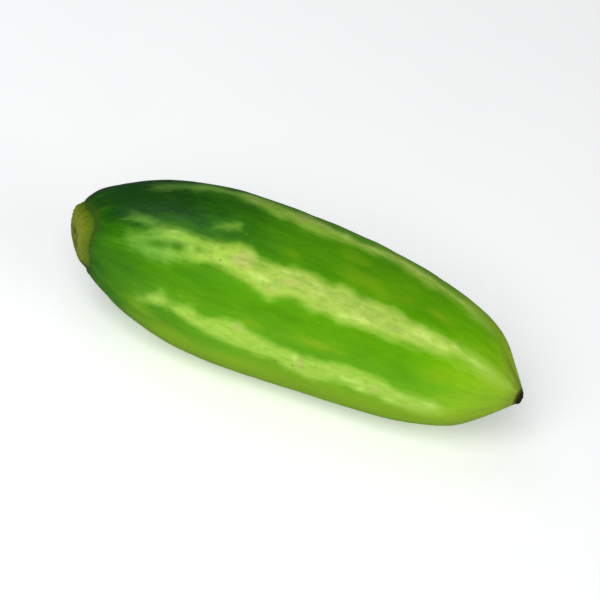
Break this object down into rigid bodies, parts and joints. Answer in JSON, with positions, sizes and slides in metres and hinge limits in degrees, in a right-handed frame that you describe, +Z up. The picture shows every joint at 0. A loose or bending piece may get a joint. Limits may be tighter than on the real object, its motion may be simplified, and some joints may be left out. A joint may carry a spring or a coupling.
{
  "type": "ivy gourd",
  "caption": "Whole ivy gourd: a small oval green fruit with pale lengthwise stripes, a corky stem scar and a dried blossom tip, lying on its side.",
  "frame": {"origin": "on the resting plane, under the middle of the fruit's bounding box", "axes": "+X along the fruit from the stem scar to the blossom tip, +Z up as it lies on its side"},
  "size_m": [0.0586, 0.0214, 0.0209],
  "materials": {
    "skin": "smooth waxy fruit skin, satin to softly glossy, green with paler mottled stripes",
    "scar": "dry corky scar tissue, matt, yellow-olive, greener at its edge and brown in its pit",
    "dried_tip": "dried withered flower base, matt, nearly black"
  },
  "bodies": {
    "root": {"gourd": "skin"}
  },
  "joints": []
}
